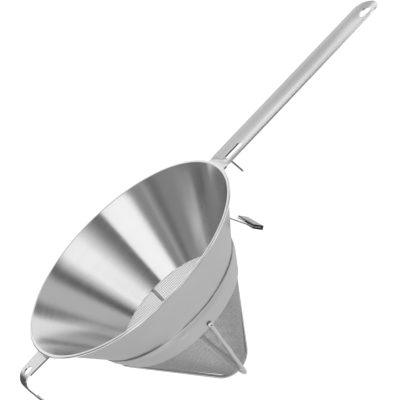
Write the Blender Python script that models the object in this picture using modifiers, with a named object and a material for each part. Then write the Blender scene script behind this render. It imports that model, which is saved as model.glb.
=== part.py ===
"""Conical fine-mesh bouillon strainer with handle, pot hook, pot rest and rod guard.

Units are metres and +Z is up. The cone's axis is the Z axis, the handle points along +X and the
hook along -X. The origin is on the axis, at the level where the hook's underside rests on a pot.
Depths are measured downwards from the plane of the rim, radii outwards from the axis.
"""
import math

import bmesh
import bpy
from mathutils import Matrix, Vector

# Driving dimensions

RIM_RADIUS = 0.100          # outside of the folded rim
RIM_FOLD_WIDTH = 0.0029     # radial width of the folded rim
RIM_FOLD_HEIGHT = 0.0020    # height of the folded rim
WALL_SHEET = 0.0007         # sheet of the upper cone
WALL_DEPTH = 0.061          # rim plane down to the upper cone's lower edge
WALL_HALF_ANGLE = math.radians(34.9)
FOLD_RETURN = 0.0008        # how far the rim's fold runs back under itself, from its outer bend

BAND_OVERHANG = 0.0012      # clamp band's lower edge below the wall's
BAND_HEIGHT = 0.0195
BAND_SHEET = 0.0009
BAND_STEEPER = math.radians(3.9)    # by how much the band is steeper than the wall

MESH_SHELL = 0.0007         # plain shell that stands for the woven mesh
MESH_TUCK = 0.0172          # height of the mesh's edge held between wall and band
MESH_STEEPER = math.radians(1.5)    # by how much the mesh is steeper than the wall
MESH_TIP_RADIUS = 0.0165    # outside radius of the rounded tip

ROD_DIAMETER = 0.0030       # guard rods
ROD_STANDOFF = 0.0010       # rod surface to mesh at the tip
ROD_HOLE_SLACK = 0.0016     # how much wider the band's rod holes are than the rods
ROD_HOLE_RISE = 0.0045      # level of those holes above the band's lower edge
ROD_HOLE_DROP = 0.0005      # rod end sits this far below its hole's centre
SIDE_ROD_AZIMUTHS = (0.0, 180.0)
CROSS_ROD_AZIMUTHS = (-86.8, 90.2)

HANDLE_LENGTH = 0.1805      # from the rim's outside to the handle's end
HANDLE_ROOT_WIDTH = 0.0288
HANDLE_END_WIDTH = 0.0277
HANDLE_SHEET = 0.0014
HANDLE_DISH = 0.0028        # how far the long edges stand above the middle
HANDLE_FLOOR_DROP = 0.0023  # rim plane down to the top of the handle's middle
HANG_HOLE_INSET = 0.0118    # from the handle's end to the hole's centre
HANG_HOLE_LENGTH = 0.0114
HANG_HOLE_WIDTH = 0.0110
SLOT_OFFSET = 0.0055        # from the rim's outside to the slot's near end
SLOT_LENGTH = 0.0198
SLOT_WIDTH = 0.0070
SLOT_CORNER = 0.0020        # rounding of the slot's far corners
TONGUE_GAP = 0.0003         # kerf round the tongue in the flat sheet
TONGUE_LEAN = math.radians(6.0)
TONGUE_BEND = 0.0040        # centre-line radius

HOOK_SHEET = 0.0012
HOOK_RIM_GAP = 0.0028       # underside of the rim's fold down to the strap
HOOK_ROOT_WIDTH = 0.0210
HOOK_BEND_WIDTH = 0.0186    # strap's width where the bend starts
HOOK_TIP_WIDTH = 0.0135
HOOK_TAPER_LENGTH = 0.0070  # length over which the bend narrows to the tip's width
HOOK_LENGTH = 0.0272        # from the rim's outside to the outside of the hook's bend
HOOK_BEND = 0.0090          # centre-line radius of the bend
HOOK_LEAN = math.radians(4.0)   # leg leans back towards the bowl
HOOK_DROP = 0.0262          # underside of the strap down to the leg's end
HOOK_LIP = 0.0020           # small lip turned in at the leg's end
HOOK_LIP_ANGLE = math.radians(50.0)
HOOK_FOOT = 0.0130          # foot welded along the wall
HOOK_HOLE_OFFSET = 0.016    # from the rim's outside to the hole's centre
HOOK_HOLE_DIAMETER = 0.0080

REST_WIDTH = 0.0308         # plate under the handle that rests on a pot's rim
REST_SHEET = 0.0010
REST_FOOT_TOP = 0.0120      # depth where the foot starts
REST_ROOT_DEPTH = 0.0326    # depth where the plate leaves the wall
REST_PLATE_LENGTH = 0.0217  # bend to the kick at its end
REST_PLATE_LEAN = math.radians(24.5)
REST_KICK_LENGTH = 0.0078
REST_KICK_LEAN = math.radians(33.5)
REST_BEND = 0.0025

TRIM_SHEET = 0.0010         # wall of the edge trim, which covers the kick

CLEARANCE = 0.0003          # between pieces that touch on the real strainer
WELD_DISTANCE = 0.000001    # points closer than this are one
TURN_STEPS = 72             # facets of every turned piece
ROD_ARC_STEPS = 12
EDGE_ARC_STEPS = 8
HOLE_SIDES = 20
PRESS_STEPS = 4             # bends of the pressed root of the handle

# Values worked out from the driving dimensions

RIM_Z = HOOK_SHEET + HOOK_RIM_GAP + RIM_FOLD_HEIGHT / 2  # height of the rim plane
FOLD_ARC = (RIM_FOLD_HEIGHT - WALL_SHEET) / 2           # centre-line radius of the fold's bends
FOLD_CENTRE = RIM_RADIUS - RIM_FOLD_WIDTH / 2
FOLD_SHIFT = (RIM_FOLD_WIDTH - WALL_SHEET) / 2 - FOLD_ARC
BAND_HALF_ANGLE = WALL_HALF_ANGLE - BAND_STEEPER
MESH_HALF_ANGLE = WALL_HALF_ANGLE - MESH_STEEPER
BAND_BOTTOM_DEPTH = WALL_DEPTH + BAND_OVERHANG
BAND_TOP_DEPTH = BAND_BOTTOM_DEPTH - BAND_HEIGHT
MESH_TOP_DEPTH = BAND_BOTTOM_DEPTH - MESH_TUCK
ROD_RADIUS = ROD_DIAMETER / 2
ROD_HOLE_RADIUS = ROD_RADIUS + ROD_HOLE_SLACK / 2
ROD_HOLE_DEPTH = BAND_BOTTOM_DEPTH - ROD_HOLE_RISE
HANDLE_REACH = RIM_RADIUS + HANDLE_LENGTH               # axis to the handle's end
HANDLE_ROOT = RIM_RADIUS + CLEARANCE                    # axis to the handle's root
SLOT_START = RIM_RADIUS + SLOT_OFFSET
TONGUE_WIDTH = SLOT_WIDTH - 2 * TONGUE_GAP
TONGUE_LENGTH = SLOT_LENGTH - TONGUE_GAP
HOOK_REACH = RIM_RADIUS + HOOK_LENGTH
HOOK_HOLE_RADIUS = RIM_RADIUS + HOOK_HOLE_OFFSET
COLLECTION_NAME = "bouillon_strainer"


def wall_tangent():
    """Centre-line point where the straight wall runs into the rim's inner bend."""
    radius = FOLD_CENTRE - FOLD_SHIFT - FOLD_ARC * math.cos(WALL_HALF_ANGLE)
    depth = -FOLD_ARC * math.sin(WALL_HALF_ANGLE)
    return radius, depth


def wall_radius(depth):
    """Centre-line radius of the straight wall at a depth."""
    radius, start = wall_tangent()
    return radius - (depth - start) * math.tan(WALL_HALF_ANGLE)


def wall_outside(depth):
    """Outside radius of the straight wall at a depth."""
    return wall_radius(depth) + WALL_SHEET / 2 / math.cos(WALL_HALF_ANGLE)


def band_radius(depth):
    """Centre-line radius of the clamp band: wall, gap, mesh, gap and half the band's sheet."""
    stack = (2 * CLEARANCE + MESH_SHELL + BAND_SHEET / 2) / math.cos(WALL_HALF_ANGLE)
    top = wall_outside(BAND_TOP_DEPTH) + stack
    return top - (depth - BAND_TOP_DEPTH) * math.tan(BAND_HALF_ANGLE)


def clamped_mesh_radius(depth):
    """Centre-line radius of the mesh where it lies inside the band."""
    offset = (BAND_SHEET / 2 + CLEARANCE + MESH_SHELL / 2) / math.cos(BAND_HALF_ANGLE)
    return band_radius(depth) - offset


def mesh_apex_depth():
    """Depth at which the free mesh cone's centre line would meet the axis."""
    radius = clamped_mesh_radius(BAND_BOTTOM_DEPTH)
    return BAND_BOTTOM_DEPTH + radius / math.tan(MESH_HALF_ANGLE)


def tip_centre_depth():
    """Depth of the centre of the rounded tip, on the axis."""
    return mesh_apex_depth() - (MESH_TIP_RADIUS - MESH_SHELL / 2) / math.sin(MESH_HALF_ANGLE)


def z_of(depth):
    """Height of a depth below the rim plane."""
    return RIM_Z - depth


def arc(centre, radius, start, end, steps):
    """Points (a, b) along an arc, angles in radians."""
    points = []
    for index in range(steps + 1):
        angle = start + (end - start) * index / steps
        points.append((centre[0] + radius * math.cos(angle), centre[1] + radius * math.sin(angle)))
    return points


def offset_path(points, distance):
    """An open path moved sideways, to its left, by a distance, with mitred corners."""
    moved = []
    last = len(points) - 1
    for index, point in enumerate(points):
        here = Vector(point)
        before = Vector(points[max(index - 1, 0)])
        after = Vector(points[min(index + 1, last)])
        way_in = (here - before).normalized() if index > 0 else (after - here).normalized()
        way_out = (after - here).normalized() if index < last else way_in
        left_in = Vector((-way_in.y, way_in.x))
        left_out = Vector((-way_out.y, way_out.x))
        mitre = (left_in + left_out).normalized()
        stretch = 1 / max(mitre.dot(left_in), 0.5)
        moved.append(tuple(here + mitre * distance * stretch))
    return moved


def sheet_outline(centre_line, thickness):
    """Closed outline of a bent sheet of even thickness around its centre line."""
    left = offset_path(centre_line, thickness / 2)
    right = offset_path(centre_line, -thickness / 2)
    return left + right[::-1]


def steel(name, value, roughness):
    """Stainless steel of an even grey."""
    return surface(name, (value, value, value * 1.01), 1.0, roughness)


def surface(name, colour, metallic, roughness):
    """A Principled material."""
    material = bpy.data.materials.new(name)
    material.use_nodes = True
    shader = material.node_tree.nodes["Principled BSDF"]
    shader.inputs["Base Color"].default_value = (*colour, 1.0)
    shader.inputs["Metallic"].default_value = metallic
    shader.inputs["Roughness"].default_value = roughness
    material.diffuse_color = (*colour, 1.0)
    return material


def add_object(name, data, collection, material=None):
    """Link a new object, with its own material."""
    obj = bpy.data.objects.new(name, data)
    collection.objects.link(obj)
    if material:
        data.materials.append(material)
    return obj


def smooth(obj, degrees=30.0):
    """Shade round faces smooth and keep the edges of the sheet sharp."""
    obj.data.shade_smooth()
    obj.data.set_sharp_from_angle(angle=math.radians(degrees))


def turned(name, outline, collection, material, closed=True):
    """Turn an outline of (radius, height) points round the axis."""
    mesh = bpy.data.meshes.new(name)
    bm = bmesh.new()
    ring = [bm.verts.new((radius, 0.0, height)) for radius, height in outline]
    for first, second in zip(ring, ring[1:]):
        bm.edges.new((first, second))
    if closed:
        bm.edges.new((ring[-1], ring[0]))
    bm.to_mesh(mesh)
    bm.free()
    obj = add_object(name, mesh, collection, material)
    screw = obj.modifiers.new("turn", "SCREW")
    screw.steps = TURN_STEPS
    screw.render_steps = TURN_STEPS
    screw.use_merge_vertices = True
    screw.merge_threshold = 0.00001
    return obj


def filled_curve(name, outlines, half_depth=0.0):
    """Mesh of flat outlines, the first with the others as holes, extruded to both sides."""
    curve = bpy.data.curves.new(name, "CURVE")
    curve.dimensions = "2D"
    curve.fill_mode = "BOTH" if half_depth else "FRONT"
    curve.extrude = half_depth
    for outline in outlines:
        spline = curve.splines.new("POLY")
        spline.points.add(len(outline) - 1)
        for point, (across, along) in zip(spline.points, outline):
            point.co = (across, along, 0.0, 1.0)
        spline.use_cyclic_u = True
    source = bpy.data.objects.new(name, curve)
    bpy.context.scene.collection.objects.link(source)
    graph = bpy.context.evaluated_depsgraph_get()
    mesh = bpy.data.meshes.new_from_object(source.evaluated_get(graph))
    bpy.data.objects.remove(source, do_unlink=True)
    mesh.name = name
    bm = bmesh.new()
    bm.from_mesh(mesh)
    bmesh.ops.remove_doubles(bm, verts=bm.verts, dist=WELD_DISTANCE)
    bmesh.ops.recalc_face_normals(bm, faces=bm.faces)
    bm.to_mesh(mesh)
    bm.free()
    return mesh


def upright_plate(name, outline, width, collection, material):
    """An outline of (x, z) points, extruded along Y to a width."""
    mesh = filled_curve(name, [outline], width / 2)
    mesh.transform(Matrix.Rotation(math.radians(90), 4, "X"))
    return add_object(name, mesh, collection, material)


def split_sheet(bm, across, along):
    """Leave a flat sheet's faces joined only at the lines where it bends.

    across holds the x positions of lines that cross the sheet, along the y positions of lines
    that run along it.
    """
    lines = [((1.0, 0.0, 0.0), 0, place) for place in across]
    lines += [((0.0, 1.0, 0.0), 1, place) for place in along]
    for normal, axis, place in lines:
        everything = bm.verts[:] + bm.edges[:] + bm.faces[:]
        point = tuple(place * part for part in normal)
        bmesh.ops.bisect_plane(bm, geom=everything, plane_co=point, plane_no=normal, dist=WELD_DISTANCE)
    loose = []
    for edge in bm.edges:
        ends = [vertex.co for vertex in edge.verts]
        on_line = any(
            all(abs(end[axis] - place) < 2 * WELD_DISTANCE for end in ends) for _, axis, place in lines
        )
        if len(edge.link_faces) == 2 and not on_line:
            loose.append(edge)
    bmesh.ops.dissolve_edges(bm, edges=loose, use_verts=False, use_face_split=False)


def path_lengths(path):
    """Distance along a path at each of its points."""
    lengths = [0.0]
    for first, second in zip(path, path[1:]):
        lengths.append(lengths[-1] + math.dist(first, second))
    return lengths


def on_path(path, lengths, distance, lift=0.0):
    """Point of an (x, z) path at a distance along it, lifted to its left."""
    index = 0
    while index < len(path) - 2 and distance > lengths[index + 1]:
        index += 1
    start = Vector(path[index])
    along = (Vector(path[index + 1]) - start).normalized()
    left = Vector((-along.y, along.x))
    return start + along * (distance - lengths[index]) + left * lift


def add_sheet(obj, thickness):
    """Give an open surface the thickness of its sheet, half to each side."""
    sheet = obj.modifiers.new("sheet", "SOLIDIFY")
    sheet.thickness = thickness
    sheet.offset = 0.0
    sheet.use_even_offset = True
    return obj


def bent_sheet(name, outlines, path, thickness, collection, material):
    """Sheet-metal piece: a flat pattern of (distance, y) outlines, bent along an (x, z) path."""
    mesh = filled_curve(name, outlines)
    lengths = path_lengths(path)
    bm = bmesh.new()
    bm.from_mesh(mesh)
    split_sheet(bm, lengths[1:-1], [0.0])
    for vertex in bm.verts:
        place = on_path(path, lengths, vertex.co.x)
        vertex.co = (place.x, vertex.co.y, place.y)
    bm.to_mesh(mesh)
    bm.free()
    return add_sheet(add_object(name, mesh, collection, material), thickness)


def cut(obj, cutter):
    """Cut an object with another by a Boolean modifier."""
    boolean = obj.modifiers.new(cutter.name, "BOOLEAN")
    boolean.operation = "DIFFERENCE"
    boolean.solver = "EXACT"
    boolean.object = cutter


def round_cutter(name, radius, height, centre, direction, cutters):
    """A cylinder along a direction, which only cuts."""
    bpy.ops.mesh.primitive_cylinder_add(
        vertices=HOLE_SIDES, radius=radius, depth=height, location=centre
    )
    cutter = bpy.context.object
    cutter.name = name
    cutter.rotation_mode = "QUATERNION"
    cutter.rotation_quaternion = Vector(direction).to_track_quat("Z", "Y")
    for home in list(cutter.users_collection):
        home.objects.unlink(cutter)
    cutters.objects.link(cutter)
    cutter.hide_render = True
    cutter.display_type = "WIRE"
    return cutter


def stadium(start, end, width, steps=EDGE_ARC_STEPS):
    """Outline of a slot with round ends between two x positions, centred on y = 0."""
    half = width / 2
    right = arc((end - half, 0.0), half, -math.pi / 2, math.pi / 2, steps)
    left = arc((start + half, 0.0), half, math.pi / 2, 3 * math.pi / 2, steps)
    return right + left


def make_body_cone(parts, material):
    """Upper cone of one sheet, with its rim folded outwards and back under itself."""
    line = [(wall_radius(WALL_DEPTH), z_of(WALL_DEPTH))]
    inner = (FOLD_CENTRE - FOLD_SHIFT, RIM_Z)
    outer = (FOLD_CENTRE + FOLD_SHIFT, RIM_Z)
    line += arc(inner, FOLD_ARC, math.pi - WALL_HALF_ANGLE, math.pi / 2, 3)
    line += arc(outer, FOLD_ARC, math.pi / 2, -math.pi / 2, 6)
    line.append((outer[0] - FOLD_RETURN, RIM_Z - FOLD_ARC))
    outline = sheet_outline(line, WALL_SHEET)
    return turned("body_cone", outline, parts, material)


def rod_hole_centre(azimuth):
    """Centre of a rod hole, on the band's centre line."""
    radius = band_radius(ROD_HOLE_DEPTH)
    return Vector((radius * math.cos(azimuth), radius * math.sin(azimuth), z_of(ROD_HOLE_DEPTH)))


def make_clamp_band(parts, cutters, material):
    """Conical band outside the wall, which clamps the mesh and holds the rod ends."""
    line = [
        (band_radius(BAND_BOTTOM_DEPTH), z_of(BAND_BOTTOM_DEPTH)),
        (band_radius(ROD_HOLE_DEPTH), z_of(ROD_HOLE_DEPTH)),
        (band_radius(BAND_TOP_DEPTH), z_of(BAND_TOP_DEPTH)),
    ]
    band = turned("clamp_band", sheet_outline(line, BAND_SHEET), parts, material)
    for degrees in SIDE_ROD_AZIMUTHS + CROSS_ROD_AZIMUTHS:
        azimuth = math.radians(degrees)
        outwards = (
            math.cos(BAND_HALF_ANGLE) * math.cos(azimuth),
            math.cos(BAND_HALF_ANGLE) * math.sin(azimuth),
            -math.sin(BAND_HALF_ANGLE),
        )
        cutter = round_cutter(
            f"cut_rod_hole_{degrees:.0f}", ROD_HOLE_RADIUS, 4 * BAND_SHEET,
            rod_hole_centre(azimuth), outwards, cutters,
        )
        cut(band, cutter)
    return band


def mesh_line(offset):
    """The mesh's outline from its top edge to the axis, moved outwards by an offset."""
    straight = [
        (clamped_mesh_radius(MESH_TOP_DEPTH), z_of(MESH_TOP_DEPTH)),
        (clamped_mesh_radius(BAND_BOTTOM_DEPTH), z_of(BAND_BOTTOM_DEPTH)),
    ]
    radius = MESH_TIP_RADIUS - MESH_SHELL / 2
    tip = arc((0.0, z_of(tip_centre_depth())), radius, -MESH_HALF_ANGLE, -math.pi / 2, 8)
    return offset_path(straight + tip, offset)


def make_mesh_cone(parts, material):
    """Plain closed shell in the place of the woven mesh cone."""
    outside = mesh_line(-MESH_SHELL / 2)
    inside = mesh_line(MESH_SHELL / 2)
    if inside[0][0] > outside[0][0]:
        outside, inside = inside, outside
    outside[-1] = (0.0, outside[-1][1])
    inside[-1] = (0.0, inside[-1][1])
    return turned("mesh_cone", inside[::-1] + outside, parts, material, closed=False)


def tangent_angle(point, centre, radius):
    """Angle at which a straight line from an outer point touches a circle, on its outer side."""
    across = point[0] - centre[0]
    up = point[1] - centre[1]
    reach = math.hypot(across, up)
    return math.atan2(up, across) - math.acos(radius / reach)


def rod_leg(tip_offset):
    """Half of a guard rod, from the end in its hole to the lowest point under the tip.

    The points are (radius, height). tip_offset is the rod's centre line to the mesh at the tip.
    """
    into_band = Vector((-math.cos(BAND_HALF_ANGLE), math.sin(BAND_HALF_ANGLE)))
    down_band = Vector((-math.sin(BAND_HALF_ANGLE), -math.cos(BAND_HALF_ANGLE)))
    hole = Vector((band_radius(ROD_HOLE_DEPTH), z_of(ROD_HOLE_DEPTH))) + down_band * ROD_HOLE_DROP
    standoff = BAND_SHEET / 2 + CLEARANCE + ROD_RADIUS
    bend = standoff - BAND_SHEET / 2
    end = hole + into_band * (BAND_SHEET / 2 - CLEARANCE)
    turn_centre = hole - into_band * (standoff - bend) + down_band * bend
    leg = [tuple(end)]
    steps = 5
    for index in range(steps + 1):
        angle = math.pi / 2 * index / steps
        point = turn_centre - down_band * bend * math.cos(angle) - into_band * bend * math.sin(angle)
        leg.append(tuple(point))
    to_edge = ROD_HOLE_RISE / math.cos(BAND_HALF_ANGLE) - ROD_HOLE_DROP - bend
    leg.append(tuple(point + down_band * to_edge))
    centre = (0.0, z_of(tip_centre_depth()))
    radius = MESH_TIP_RADIUS + tip_offset
    start = tangent_angle(leg[-1], centre, radius)
    return leg + arc(centre, radius, start, -math.pi / 2, ROD_ARC_STEPS)


def make_guard_rod(name, azimuths, tip_offset, parts, material):
    """One rod bent round the tip, its two ends in the band."""
    leg = rod_leg(tip_offset)
    points = []
    for degrees, run in zip(azimuths, (leg, leg[-2::-1])):
        azimuth = math.radians(degrees)
        for radius, height in run:
            points.append((radius * math.cos(azimuth), radius * math.sin(azimuth), height))
    curve = bpy.data.curves.new(name, "CURVE")
    curve.dimensions = "3D"
    curve.bevel_depth = ROD_RADIUS
    curve.bevel_resolution = 2
    curve.use_fill_caps = True
    spline = curve.splines.new("POLY")
    spline.points.add(len(points) - 1)
    for point, place in zip(spline.points, points):
        point.co = (*place, 1.0)
    return add_object(name, curve, parts, material)


def handle_outlines():
    """Flat pattern of the handle: its plan, the hang hole and the cut round the tongue."""
    root = HANDLE_ROOT_WIDTH / 2
    end = HANDLE_END_WIDTH / 2
    spread = math.asin(root / HANDLE_ROOT)
    plan = arc((HANDLE_REACH - end, 0.0), end, -math.pi / 2, math.pi / 2, 2 * EDGE_ARC_STEPS)
    plan += arc((0.0, 0.0), HANDLE_ROOT, spread, -spread, EDGE_ARC_STEPS)
    hole_middle = HANDLE_REACH - HANG_HOLE_INSET
    hole = stadium(hole_middle - HANG_HOLE_LENGTH / 2, hole_middle + HANG_HOLE_LENGTH / 2, HANG_HOLE_WIDTH)
    return [plan, hole, tongue_cut()]


def round_tab(start, end, width, corner, steps=4):
    """Half-open outline of a tab with rounded far corners, from (start, -y) round to (start, y)."""
    half = width / 2
    far = arc((end - corner, -half + corner), corner, -math.pi / 2, 0.0, steps)
    far += arc((end - corner, half - corner), corner, 0.0, math.pi / 2, steps)
    return [(start, -half)] + far + [(start, half)]


def tongue_cut():
    """The slot in the flat handle, with the tongue still in its plane."""
    slot = round_tab(SLOT_START, SLOT_START + SLOT_LENGTH, SLOT_WIDTH, SLOT_CORNER)
    tongue = round_tab(SLOT_START, SLOT_START + TONGUE_LENGTH, TONGUE_WIDTH, SLOT_CORNER - TONGUE_GAP)
    return slot + tongue[::-1]


def in_tongue(x, y):
    """Whether a point of the flat handle belongs to the tongue."""
    corner = SLOT_CORNER - TONGUE_GAP
    past_side = max(abs(y) - (TONGUE_WIDTH / 2 - corner), 0.0)
    past_end = max(x - (SLOT_START + TONGUE_LENGTH - corner), 0.0)
    return x > SLOT_START and math.hypot(past_side, past_end) < corner + TONGUE_GAP / 2


def dish(y):
    """Rise of the handle's sheet at a distance from its middle line."""
    half = HANDLE_ROOT_WIDTH / 2
    curve_radius = (half * half + HANDLE_DISH * HANDLE_DISH) / (2 * HANDLE_DISH)
    return curve_radius - math.sqrt(curve_radius * curve_radius - y * y)


def pressed_share(x):
    """How far the handle's dish is pressed flat: fully at its root, not at all from the slot on."""
    share = min(max((x - HANDLE_ROOT) / (SLOT_START - HANDLE_ROOT), 0.0), 1.0)
    return 1.0 - share * share * (3 - 2 * share)


def tongue_path(level):
    """Centre line of the tongue in the XZ plane, from the handle's sheet to its end."""
    line = arc((SLOT_START, level - TONGUE_BEND), TONGUE_BEND, math.pi / 2, TONGUE_LEAN, 5)
    down = Vector((math.sin(TONGUE_LEAN), -math.cos(TONGUE_LEAN)))
    line.append(tuple(Vector(line[-1]) + down * TONGUE_LENGTH))
    return line


def make_handle(parts, material):
    """Dished handle with a hang hole, a slot and the tongue bent down out of it."""
    mesh = filled_curve("handle", handle_outlines())
    level = RIM_Z - HANDLE_FLOOR_DROP - HANDLE_SHEET / 2
    pressed_level = RIM_Z - HANDLE_SHEET / 2
    path = tongue_path(level)
    lengths = path_lengths(path)
    bm = bmesh.new()
    bm.from_mesh(mesh)
    strip = HANDLE_ROOT_WIDTH / 2 / EDGE_ARC_STEPS
    folds = [strip * index for index in range(1 - EDGE_ARC_STEPS, EDGE_ARC_STEPS)]
    press_step = (SLOT_START - HANDLE_ROOT) / PRESS_STEPS
    press = [HANDLE_ROOT + press_step * index for index in range(1, PRESS_STEPS)]
    split_sheet(bm, press + [SLOT_START + length for length in lengths[:-1]], folds)
    for vertex in bm.verts:
        x, y, _ = vertex.co
        rise = dish(y)
        if in_tongue(x, y):
            place = on_path(path, lengths, x - SLOT_START, rise)
            vertex.co = (place.x, y, place.y)
        else:
            share = pressed_share(x)
            vertex.co.z = (level + rise) * (1 - share) + pressed_level * share
    bm.to_mesh(mesh)
    bm.free()
    return add_sheet(add_object("handle", mesh, parts, material), HANDLE_SHEET)


def hook_path():
    """Centre line of the hook in the XZ plane, from its foot on the wall to its lip."""
    level = HOOK_SHEET / 2
    clear = (WALL_SHEET / 2 + CLEARANCE + HOOK_SHEET / 2) / math.cos(WALL_HALF_ANGLE)
    root = Vector((wall_radius(RIM_Z - level) + clear, level))
    down_wall = Vector((-math.sin(WALL_HALF_ANGLE), -math.cos(WALL_HALF_ANGLE)))
    bend_x = HOOK_REACH - HOOK_SHEET / 2 - HOOK_BEND
    line = [tuple(root + down_wall * HOOK_FOOT), tuple(root)]
    line += arc((bend_x, level - HOOK_BEND), HOOK_BEND, math.pi / 2, -HOOK_LEAN, 10)
    down = Vector((-math.sin(HOOK_LEAN), -math.cos(HOOK_LEAN)))
    last = Vector(line[-1])
    knee = last + down * ((last.y + HOOK_DROP - HOOK_LIP) / math.cos(HOOK_LEAN))
    lip = Vector((math.cos(HOOK_LIP_ANGLE), -math.sin(HOOK_LIP_ANGLE)))
    line += [tuple(knee), tuple(knee - lip * HOOK_LIP)]
    return line


def make_pot_hook(parts, material):
    """Strap hook opposite the handle, with its foot on the wall under the rim."""
    path = hook_path()
    lengths = path_lengths(path)
    strap_start = lengths[1]
    taper_start = strap_start + RIM_RADIUS - path[1][0]
    bend_start = lengths[2]
    root = HOOK_ROOT_WIDTH / 2
    tip = HOOK_TIP_WIDTH / 2
    side = [
        (0.0, root), (taper_start, root), (bend_start, HOOK_BEND_WIDTH / 2),
        (bend_start + HOOK_TAPER_LENGTH, tip), (lengths[-1], tip),
    ]
    outline = side + [(distance, -y) for distance, y in reversed(side)]
    hole_place = strap_start + HOOK_HOLE_RADIUS - path[1][0]
    hole = arc((hole_place, 0.0), HOOK_HOLE_DIAMETER / 2, 0.0, 2 * math.pi, HOLE_SIDES)[:-1]
    mirrored = [(-x, z) for x, z in path]
    return bent_sheet("pot_hook", [outline, hole], mirrored, HOOK_SHEET, parts, material)


def rest_line():
    """Centre line of the rest bracket in the XZ plane, from its foot to its lower edge."""
    clear = (WALL_SHEET / 2 + CLEARANCE + REST_SHEET / 2) / math.cos(WALL_HALF_ANGLE)
    foot_top = (wall_radius(REST_FOOT_TOP) + clear, z_of(REST_FOOT_TOP))
    root = Vector((wall_radius(REST_ROOT_DEPTH) + clear, z_of(REST_ROOT_DEPTH)))
    along_wall = Vector((-math.sin(WALL_HALF_ANGLE), -math.cos(WALL_HALF_ANGLE)))
    along_plate = Vector((math.sin(REST_PLATE_LEAN), -math.cos(REST_PLATE_LEAN)))
    half_turn = (WALL_HALF_ANGLE + REST_PLATE_LEAN) / 2
    trim_back = REST_BEND * math.tan(half_turn)
    start = root - along_wall * trim_back
    outwards = Vector((math.cos(WALL_HALF_ANGLE), -math.sin(WALL_HALF_ANGLE)))
    centre = start + outwards * REST_BEND
    first = math.pi - WALL_HALF_ANGLE
    second = math.pi + REST_PLATE_LEAN
    bend = arc(tuple(centre), REST_BEND, first, second, 6)
    kick_start = root + along_plate * REST_PLATE_LENGTH
    along_kick = Vector((math.sin(REST_KICK_LEAN), -math.cos(REST_KICK_LEAN)))
    end = kick_start + along_kick * REST_KICK_LENGTH
    return [foot_top] + bend + [tuple(kick_start), tuple(end)]


def make_rest_bracket(parts, material):
    """Sheet bracket under the handle: foot on the wall, plate leaning out over a pot's rim."""
    path = rest_line()
    length = path_lengths(path)[-1]
    half = REST_WIDTH / 2
    outline = [(0.0, -half), (length, -half), (length, half), (0.0, half)]
    return bent_sheet("rest_bracket", [outline], path, REST_SHEET, parts, material)


def make_rest_trim(parts, material):
    """U-shaped edge trim pushed over the bracket's lower edge."""
    kick_start, end = (Vector(point) for point in rest_line()[-2:])
    along = (end - kick_start).normalized()
    top = kick_start + along * CLEARANCE
    bottom = end + along * CLEARANCE
    left = Vector((-along.y, along.x))
    inner = REST_SHEET / 2 + CLEARANCE
    outer = inner + TRIM_SHEET
    outline = [
        top + left * outer, top + left * inner, bottom + left * inner, bottom - left * inner,
        top - left * inner, top - left * outer,
        bottom + along * TRIM_SHEET - left * outer, bottom + along * TRIM_SHEET + left * outer,
    ]
    points = [tuple(point) for point in outline]
    return upright_plate("rest_edge_trim", points, REST_WIDTH, parts, material)


def clear_scene():
    """Remove every object of the scene."""
    for obj in list(bpy.data.objects):
        bpy.data.objects.remove(obj, do_unlink=True)


def main():
    clear_scene()
    parts = bpy.data.collections.new(COLLECTION_NAME)
    cutters = bpy.data.collections.new("cutters")
    bpy.context.scene.collection.children.link(parts)
    bpy.context.scene.collection.children.link(cutters)

    turned_pieces = [
        make_body_cone(parts, steel("brushed_steel", 0.78, 0.28)),
        make_mesh_cone(parts, steel("woven_steel", 0.66, 0.45)),
        make_clamp_band(parts, cutters, steel("band_steel", 0.72, 0.35)),
    ]
    for piece in turned_pieces:
        smooth(piece)
    side_offset = ROD_STANDOFF + ROD_RADIUS
    cross_offset = side_offset + ROD_DIAMETER + CLEARANCE
    rod_steel = steel("rod_steel", 0.74, 0.30)
    make_guard_rod("guard_rod_side", SIDE_ROD_AZIMUTHS, side_offset, parts, rod_steel)
    make_guard_rod("guard_rod_cross", CROSS_ROD_AZIMUTHS, cross_offset, parts, rod_steel.copy())
    make_handle(parts, steel("handle_steel", 0.75, 0.32))
    make_pot_hook(parts, steel("hook_steel", 0.75, 0.30))
    make_rest_bracket(parts, steel("bracket_steel", 0.77, 0.25))
    make_rest_trim(parts, surface("black_trim", (0.015, 0.015, 0.016), 0.0, 0.30))


main()
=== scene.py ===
import math

import bmesh
import bpy
import numpy as np
from mathutils import Matrix, Vector


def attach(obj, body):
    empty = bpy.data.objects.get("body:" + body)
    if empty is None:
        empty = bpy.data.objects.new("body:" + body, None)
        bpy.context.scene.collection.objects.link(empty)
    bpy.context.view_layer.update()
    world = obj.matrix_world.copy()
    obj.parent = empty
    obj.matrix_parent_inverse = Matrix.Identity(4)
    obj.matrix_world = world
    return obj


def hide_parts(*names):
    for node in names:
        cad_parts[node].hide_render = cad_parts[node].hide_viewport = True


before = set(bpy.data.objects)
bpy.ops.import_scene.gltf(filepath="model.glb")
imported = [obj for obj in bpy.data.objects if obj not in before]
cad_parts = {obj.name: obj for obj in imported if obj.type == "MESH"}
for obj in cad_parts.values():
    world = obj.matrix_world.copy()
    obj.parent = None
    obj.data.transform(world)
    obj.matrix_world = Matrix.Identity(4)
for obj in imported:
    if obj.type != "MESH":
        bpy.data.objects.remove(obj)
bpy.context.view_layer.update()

# Sizes of the strainer, in metres, as the frame has them, apart from ROD_HOLE_DROP

RIM_RADIUS = 0.100
RIM_FOLD_WIDTH = 0.0029
RIM_FOLD_HEIGHT = 0.0020
WALL_SHEET = 0.0007
WALL_DEPTH = 0.061
WALL_HALF_ANGLE = math.radians(34.9)
FOLD_RETURN = 0.0008

BAND_OVERHANG = 0.0012
BAND_HEIGHT = 0.0195
BAND_SHEET = 0.0009
BAND_HALF_ANGLE = math.radians(31.0)

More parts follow.
